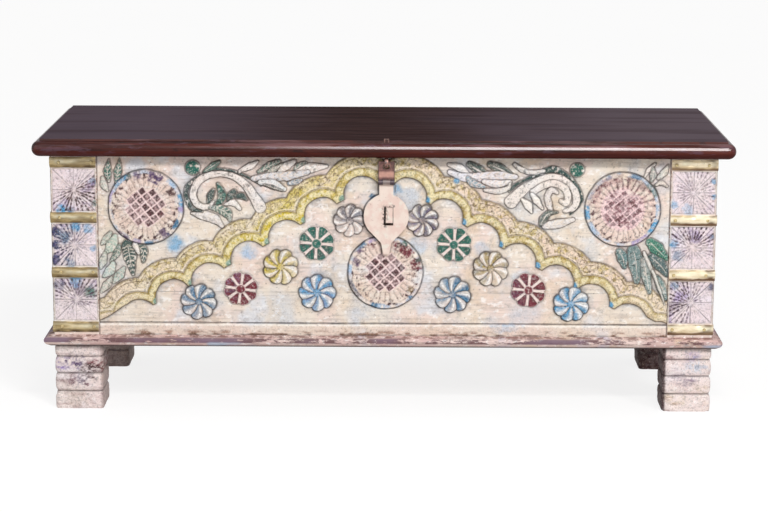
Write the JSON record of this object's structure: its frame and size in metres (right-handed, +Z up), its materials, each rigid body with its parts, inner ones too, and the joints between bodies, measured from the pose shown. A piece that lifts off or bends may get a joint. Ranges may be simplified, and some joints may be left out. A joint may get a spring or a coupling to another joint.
{
  "type": "wooden trunk",
  "caption": "Low wooden storage trunk with a carved, painted front, corner straps, grooved block feet, a hinged plank lid and a hanging iron hasp.",
  "frame": {"origin": "centre of the trunk's outline at floor level, under the feet", "axes": "+X along the trunk's length to the viewer's right, -Y towards the carved front, +Z up"},
  "size_m": [1.2, 0.45, 0.4798],
  "materials": {
    "painted_carved_wood": "worn cream limewash with remains of older coloured paint in the carving",
    "painted_wood": "worn cream limewash",
    "painted_plinth_wood": "worn pink cream and mauve paint",
    "painted_foot_wood": "worn pink cream paint",
    "polished_lid_wood": "dark red brown stain under gloss lacquer",
    "bare_wood": "unfinished",
    "brass_strap": "aged and dented sheet",
    "brass_nail": "aged",
    "hasp_iron": "rusted brown",
    "painted_iron": "worn cream paint",
    "black_iron": "dull black",
    "steel_screw": "dull"
  },
  "bodies": {
    "carcass": {"front_post_left": "painted_carved_wood", "front_post_right": "painted_carved_wood", "back_post_left": "painted_wood", "back_post_right": "painted_wood", "front_board_lower": "painted_carved_wood", "front_board_upper": "painted_carved_wood", "back_board_lower": "painted_wood", "back_board_upper": "painted_wood", "left_board_lower": "painted_wood", "left_board_upper": "painted_wood", "right_board_lower": "painted_wood", "right_board_upper": "painted_wood", "floor_board_front": "bare_wood", "floor_board_middle": "bare_wood", "floor_board_back": "bare_wood", "plinth_front": "painted_plinth_wood", "plinth_back": "painted_plinth_wood", "plinth_left": "painted_plinth_wood", "plinth_right": "painted_plinth_wood", "front_foot_left": "painted_foot_wood", "front_foot_right": "painted_foot_wood", "back_foot_left": "painted_foot_wood", "back_foot_right": "painted_foot_wood", "corner_strap_left_1": "brass_strap", "corner_strap_left_2": "brass_strap", "corner_strap_left_3": "brass_strap", "corner_strap_left_4": "brass_strap", "strap_nails_left": "brass_nail", "corner_strap_right_1": "brass_strap", "corner_strap_right_2": "brass_strap", "corner_strap_right_3": "brass_strap", "corner_strap_right_4": "brass_strap", "strap_nails_right": "brass_nail", "hinge_1_wall_leaf": "black_iron", "hinge_1_pin": "black_iron", "hinge_2_wall_leaf": "black_iron", "hinge_2_pin": "black_iron", "hinge_3_wall_leaf": "black_iron", "hinge_3_pin": "black_iron", "hinge_wall_screws": "steel_screw", "hasp_staple": "painted_iron"},
    "lid": {"lid_board_front": "polished_lid_wood", "lid_board_middle": "polished_lid_wood", "lid_board_back": "polished_lid_wood", "lid_batten_left": "bare_wood", "lid_batten_right": "bare_wood", "batten_screws": "steel_screw", "hinge_lid_screws": "steel_screw", "hasp_split_pin": "hasp_iron", "hinge_1_lid_leaf": "black_iron", "hinge_2_lid_leaf": "black_iron", "hinge_3_lid_leaf": "black_iron"},
    "hasp_link_body": {"hasp_link": "hasp_iron", "hasp_pin": "hasp_iron"},
    "hasp_plate_body": {"hasp_plate": "painted_iron"}
  },
  "joints": [
    {"name": "lid_hinge", "type": "hinge", "parent": "carcass", "child": "lid", "pos_m": [0, 0.2034, 0.445], "axis": [-1, 0, 0], "range_deg": [0, 100]},
    {"name": "hasp_eye", "type": "hinge", "parent": "lid", "child": "hasp_link_body", "pos_m": [0.005, -0.208, 0.4385], "axis": [-1, 0, 0], "range_deg": [0, 90]},
    {"name": "hasp_knuckle", "type": "hinge", "parent": "hasp_link_body", "child": "hasp_plate_body", "pos_m": [0.005, -0.208, 0.405], "axis": [-1, 0, 0], "range_deg": [0, 90]}
  ]
}
